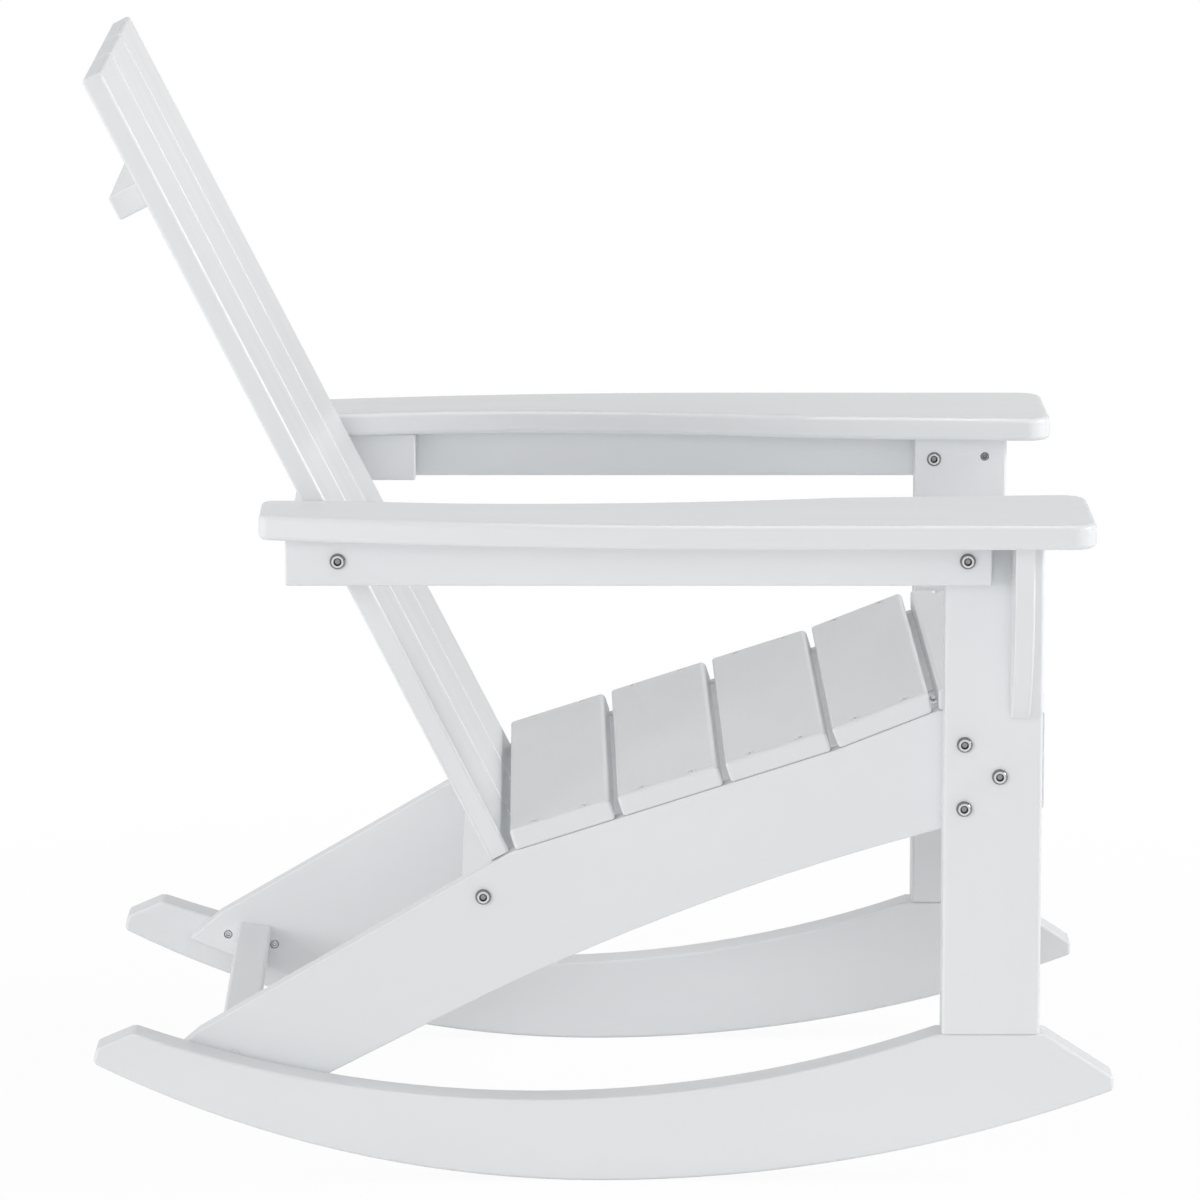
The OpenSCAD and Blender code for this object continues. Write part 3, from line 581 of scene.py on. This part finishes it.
def measured(spots, foot, axis):
    """How far each spot lies along an axis from its foot, and how far from the axis"""
    along = (spots - foot) @ axis
    away = numpy.linalg.norm(spots - foot - numpy.outer(along, axis), axis=1)
    return along, away


def islands(mesh):
    """The spots of each loose part of a mesh"""
    loose = dict.fromkeys(mesh.verts)
    while loose:
        reached = [next(iter(loose))]
        island = []
        while reached:
            vert = reached.pop()
            if vert in loose:
                del loose[vert]
                island.append(vert.co.copy())
                reached += [edge.other_vert(vert) for edge in vert.link_edges]
        yield numpy.array(island)


def turned_parts(node):
    """The foot, axis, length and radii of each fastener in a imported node, read off its mesh"""
    mesh = packed(node)
    for spots in islands(mesh):
        middle = spots.mean(axis=0)
        axis = numpy.linalg.eigh(numpy.cov((spots - middle).T))[1][:, 2]
        along, away = measured(spots, middle, axis)
        if along[away.argmax()] < 0.5 * (along.min() + along.max()):
            along = -along
        foot = spots[along < along.min() + FOOT_SHARE * numpy.ptp(along)].mean(axis=0)
        head = spots[away > RIM_SHARE * away.max()].mean(axis=0)
        axis = (head - foot) / numpy.linalg.norm(head - foot)
        along, away = measured(spots, foot, axis)
        length = along.max()
        end = away[along < FOOT_SHARE * length]
        yield {
            "foot": Vector(foot), "axis": Vector(axis), "length": length, "head": away.max(),
            "tip": end.max(), "bore": end.min(), "hollow": end.min() < HOLLOW_SHARE * end.max(),
            "bore_end": along[abs(away - end.min()) < BORE_SHARE * end.min()].max(),
            "shank": away[along < 0.5 * length].max(),
            "neck": along[away > RIM_SHARE * away.max()].min()}
    mesh.free()


def head_tones(node):
    """How light the ring, rim and socket of a node's fasteners are painted"""
    shape = bpy.context.scene.chair_hardware
    if node in BRIGHT_FASTENERS:
        return shape.bright_head_painted_tone, shape.bright_head_painted_tone, shape.bright_socket_painted_tone
    ring = shape.screw_ring_painted_tone if node.endswith("_screws") else shape.bolt_ring_painted_tone
    return ring, shape.rim_painted_tone, shape.socket_painted_tone


def turn_fastener(mesh, part, tones, capped):
    """Turns one bolt, nut or screw with a round socket or a flat cap, and stores the painted tones of
    shade on its rings
    """
    shape = bpy.context.scene.chair_hardware
    shine = mesh.verts.layers.float.get("shine") or mesh.verts.layers.float.new("shine")
    ring, rim, socket = tones
    # Painted tones: the rim's foot is painted darker than the rim, and the socket's floor paler than
    # its walls
    rim_foot = 0.4 * rim
    socket_floor = socket + 0.3
    socket_middle = socket + 0.35
    # The shank and the underside of the head are painted dark
    plain = shape.shank_painted_tone
    head = part["head"]
    neck = part["neck"]
    top = part["length"]
    rise = top - neck
    sunk = shape.socket_depth * head

    # The outline's radii, heights and painted tones, from the foot up, as shares of the head's sizes;
    # low tones paint shade
    foot = [(0.0, 0.0, plain)]
    if part["hollow"]:
        bore_end = min(part["bore_end"], top - 1.4 * sunk)
        foot = [(0.0, bore_end, plain), (part["bore"], bore_end, plain), (part["bore"], 0.0, plain)]
    shank = (
        *foot,
        (part["tip"], 0.0, plain),
        (part["shank"], 2 * (part["shank"] - part["tip"]), plain),
        (part["shank"], neck, plain),
        (head, neck, plain),
    )
    crown = (
        (head, neck + 0.25 * rise, rim_foot),
        (0.93 * head, neck + 0.65 * rise, rim),
        (1.02 * shape.ring_out * head, neck + 0.90 * rise, rim),
        (0.98 * shape.ring_out * head, neck + 0.93 * rise, ring),
        (1.03 * shape.ring_in * head, top, ring),
        (0.99 * shape.ring_in * head, top - 0.1 * sunk, socket),
        (shape.socket * head, top - sunk, socket),
        (0.8 * shape.socket * head, top - sunk, socket_floor),
        (0.0, top - 1.1 * sunk, socket_middle),
    )
    if capped:
        crown = ((head, top, ring), (0.0, top, ring))
    before = set(mesh.verts)
    line = []
    for radius, height, tone in shank + crown:
        vert = mesh.verts.new((radius, 0.0, height))
        vert[shine] = tone
        line.append(vert)
    edges = [mesh.edges.new(pair) for pair in zip(line, line[1:])]
    bmesh.ops.spin(
        mesh, geom=line + edges, cent=(0, 0, 0), axis=(0, 0, 1),
        angle=math.tau, steps=TURN_STEPS, use_merge=True)
    bmesh.ops.remove_doubles(
        mesh, verts=[vert for vert in mesh.verts if vert not in before], dist=WELD)
    turn = part["axis"].to_track_quat("Z", "Y").to_matrix().to_4x4()
    bmesh.ops.transform(
        mesh, matrix=Matrix.Translation(part["foot"]) @ turn,
        verts=[vert for vert in mesh.verts if vert not in before])


class CHAIR_OT_rockers(bpy.types.Operator):
    """Saws the two rockers and eases their edges"""
    bl_idname = "chair.rockers"
    bl_label = "Rockers"

    def execute(self, context):
        boards = context.scene.chair_boards
        for side in SIDES:
            ease_board("rocker_" + side, "lumber_along", boards.edge)
        return {"FINISHED"}


class CHAIR_OT_legs(bpy.types.Operator):
    """Sets up the two front legs"""
    bl_idname = "chair.legs"
    bl_label = "Front legs"

    def execute(self, context):
        boards = context.scene.chair_boards
        for side in SIDES:
            ease_board("front_leg_" + side, "lumber_upright", boards.bar_edge)
        return {"FINISHED"}


class CHAIR_OT_stringers(bpy.types.Operator):
    """Saws the two seat stringers"""
    bl_idname = "chair.stringers"
    bl_label = "Seat stringers"

    def execute(self, context):
        boards = context.scene.chair_boards
        for side in SIDES:
            ease_board("seat_stringer_" + side, "lumber_sloped", boards.stringer_edge)
        return {"FINISHED"}


class CHAIR_OT_seat_slats(bpy.types.Operator):
    """Lays the five seat slats"""
    bl_idname = "chair.seat_slats"
    bl_label = "Seat slats"

    def execute(self, context):
        boards = context.scene.chair_boards
        for number in range(1, SEAT_SLATS + 1):
            slat = ease_board(f"seat_slat_{number}", "lumber_across", boards.edge)
            if number == KNEE_SLAT:
                plane_front(
                    slat, boards.knee_tilt, boards.knee_cut_top, boards.knee_cut_foot,
                    2 * boards.edge)
        return {"FINISHED"}


class CHAIR_OT_back_slats(bpy.types.Operator):
    """Stands the three slats of the raked back"""
    bl_idname = "chair.back_slats"
    bl_label = "Back slats"

    def execute(self, context):
        boards = context.scene.chair_boards
        for place in BACK_PLACES:
            ease_board("back_slat_" + place, "lumber_raked", boards.edge, boards.square_height)
        return {"FINISHED"}


class CHAIR_OT_cross_bars(bpy.types.Operator):
    """Fits the apron, the rear stretcher and the back's three braces"""
    bl_idname = "chair.cross_bars"
    bl_label = "Apron, stretcher and braces"

    def execute(self, context):
        boards = context.scene.chair_boards
        for node in ("front_apron", "rear_stretcher", "back_brace_middle", "back_brace_lower"):
            ease_board(node, "lumber_across", boards.bar_edge)
        ease_board("back_brace_upper", "lumber_across", boards.rail_edge)
        return {"FINISHED"}


class CHAIR_OT_rails(bpy.types.Operator):
    """Fits the arm rails and the blocks inside them"""
    bl_idname = "chair.rails"
    bl_label = "Arm rails and blocks"

    def execute(self, context):
        boards = context.scene.chair_boards
        for side in SIDES:
            ease_board("arm_rail_" + side, "lumber_along", boards.rail_edge)
            ease_board("brace_block_" + side, "lumber_along", boards.rail_edge)
        return {"FINISHED"}


class CHAIR_OT_arms(bpy.types.Operator):
    """Shapes the two wide arms with rounded edges"""
    bl_idname = "chair.arms"
    bl_label = "Arms"

    def execute(self, context):
        boards = context.scene.chair_boards
        for side in SIDES:
            ease_board("arm_" + side, "lumber_along", boards.arm_edge)
        return {"FINISHED"}


class CHAIR_OT_brackets(bpy.types.Operator):
    """Saws the curved brackets under the arms"""
    bl_idname = "chair.brackets"
    bl_label = "Arm brackets"

    def execute(self, context):
        boards = context.scene.chair_boards
        for side in SIDES:
            ease_board("arm_bracket_" + side, "lumber_upright", boards.bracket_edge)
        return {"FINISHED"}


class CHAIR_OT_fasteners(bpy.types.Operator):
    """Turns the bolts, nuts and screws, and gives the dowels the same stainless steel"""
    bl_idname = "chair.fasteners"
    bl_label = "Fasteners"

    def execute(self, context):
        for node in list(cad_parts):
            if not node.endswith(("_bolts", "_nuts", "_screws")):
                continue
            capped = node == CAPPED_SCREWS
            mesh = bmesh.new()
            for part in turned_parts(node):
                turn_fastener(mesh, part, head_tones(node), capped)
            bmesh.ops.recalc_face_normals(mesh, faces=mesh.faces)
            add_piece(node, mesh, "capped" if capped else "stainless", slot="steel")
        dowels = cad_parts["foot_dowels"].data.materials
        dowels.clear()
        dowels.append(finish_named("stainless"))
        return {"FINISHED"}


def area_lamp(name, at, aim, size, power, lights=True, mirrored=False):
    """A soft lamp at a place, turned towards another, which lights surfaces, is mirrored, or both"""
    data = bpy.data.lights.new(name, "AREA")
    data.shape = "RECTANGLE"
    data.size, data.size_y = size
    data.energy = power
    lamp = bpy.data.objects.new(name, data)
    lamp.location = at
    lamp.rotation_mode = "QUATERNION"
    lamp.rotation_quaternion = (Vector(aim) - Vector(at)).to_track_quat("-Z", "Y")
    lamp.visible_diffuse = lights
    lamp.visible_glossy = mirrored
    bpy.context.scene.collection.objects.link(lamp)


def photo_camera(studio):
    """The camera at the photo's place, angle and lens"""
    data = bpy.data.cameras.new("camera")
    data.sensor_width = studio.sensor
    data.lens = studio.lens
    data.shift_x = studio.shift_x
    data.clip_start = 0.1
    data.clip_end = 60.0
    # It looks along X, and down by the drop
    drop = studio.camera_drop
    turn = Matrix(((0, math.sin(drop), -math.cos(drop)),
                   (-1, 0, 0),
                   (0, math.cos(drop), math.sin(drop))))
    camera = bpy.data.objects.new("camera", data)
    camera.matrix_world = Matrix.Translation(studio.camera_at) @ turn.to_4x4()
    bpy.context.scene.collection.objects.link(camera)
    return camera


def pale_floor(studio):
    """A floor that shows white to the camera, and darker only in the chair's shadow"""
    mesh = bmesh.new()
    bmesh.ops.create_grid(mesh, x_segments=1, y_segments=1, size=studio.floor_reach)
    data = bpy.data.meshes.new("floor")
    mesh.to_mesh(data)
    mesh.free()
    floor = bpy.data.objects.new("floor", data)
    bpy.context.scene.collection.objects.link(floor)

    paint = Paint(bpy.data.materials.new("pale_floor"))
    seen = paint.node("ShaderNodeLightPath", output="Is Camera Ray")
    place = paint.node("ShaderNodeTexCoord", output="Object")
    away = paint.node("ShaderNodeVectorMath", {"operation": "LENGTH"}, {0: place}, output=1)
    lit = paint.node("ShaderNodeBsdfDiffuse", inputs={"Color": rgba(studio.floor_tone)})
    white = paint.node("ShaderNodeEmission", inputs={"Color": WHITE, "Strength": 1.0})
    faded = away.over(studio.shadow_reach, studio.shadow_end)
    glow = seen * (studio.floor_glow + (1 - studio.floor_glow) * faded)
    data.materials.append(paint.finished(paint.node(
        "ShaderNodeMixShader", inputs={0: glow, 1: lit, 2: white})))
    return floor


def even_sky(studio):
    """Even light from all round, white to the camera and softer where surfaces mirror it"""
    paint = Paint(bpy.data.worlds.new("even_sky"), "ShaderNodeOutputWorld")
    shown = paint.node("ShaderNodeLightPath", output="Is Camera Ray")
    mirrored = paint.node("ShaderNodeLightPath", output="Is Glossy Ray") * (1 - shown)
    strength = studio.sky + (1 - studio.sky) * shown + (studio.sheen - studio.sky) * mirrored
    return paint.finished(paint.node("ShaderNodeBackground", inputs={
        "Color": WHITE, "Strength": strength}))


class CHAIR_OT_studio(bpy.types.Operator):
    """Sets the floor, the lamps, the white background and the camera"""
    bl_idname = "chair.studio"
    bl_label = "Studio"

    def execute(self, context):
        scene = context.scene
        studio = scene.chair_studio
        scene.camera = photo_camera(studio)
        pale_floor(studio)
        scene.world = even_sky(studio)
        for name, lamp in LAMPS.items():
            area_lamp(name, power=getattr(studio, name), **lamp)
        scene.view_settings.view_transform = "Standard"
        return {"FINISHED"}


class CHAIR_PT_sidebar(bpy.types.Panel):
    """Lists the chair's pieces and its studio"""
    bl_idname = "CHAIR_PT_sidebar"
    bl_label = "Rocking Chair"
    bl_space_type = "VIEW_3D"
    bl_region_type = "UI"
    bl_category = "Rocking Chair"

    def draw(self, context):
        for place, kind in GROUPS.items():
            box = self.layout.box()
            for name in kind.__annotations__:
                box.prop(getattr(context.scene, place), name)
        for operator in STEPS:
            self.layout.operator(operator.bl_idname)


STEPS = (
    CHAIR_OT_rockers, CHAIR_OT_legs, CHAIR_OT_stringers, CHAIR_OT_seat_slats,
    CHAIR_OT_back_slats, CHAIR_OT_cross_bars, CHAIR_OT_rails, CHAIR_OT_arms,
    CHAIR_OT_brackets, CHAIR_OT_fasteners, CHAIR_OT_studio,
)
GROUPS = {
    "chair_boards": ChairBoards,
    "chair_hardware": ChairHardware,
    "chair_finish": ChairFinish,
    "chair_studio": ChairStudio,
}


def register():
    for kind in (*GROUPS.values(), *STEPS, CHAIR_PT_sidebar):
        bpy.utils.register_class(kind)
    for place, kind in GROUPS.items():
        setattr(bpy.types.Scene, place, bpy.props.PointerProperty(type=kind))


def unregister():
    for place in GROUPS:
        delattr(bpy.types.Scene, place)
    for kind in reversed((*GROUPS.values(), *STEPS, CHAIR_PT_sidebar)):
        bpy.utils.unregister_class(kind)


def main():
    register()
    for step in STEPS:
        group, name = step.bl_idname.split(".")
        getattr(getattr(bpy.ops, group), name)()


if __name__ == "__main__":
    main()
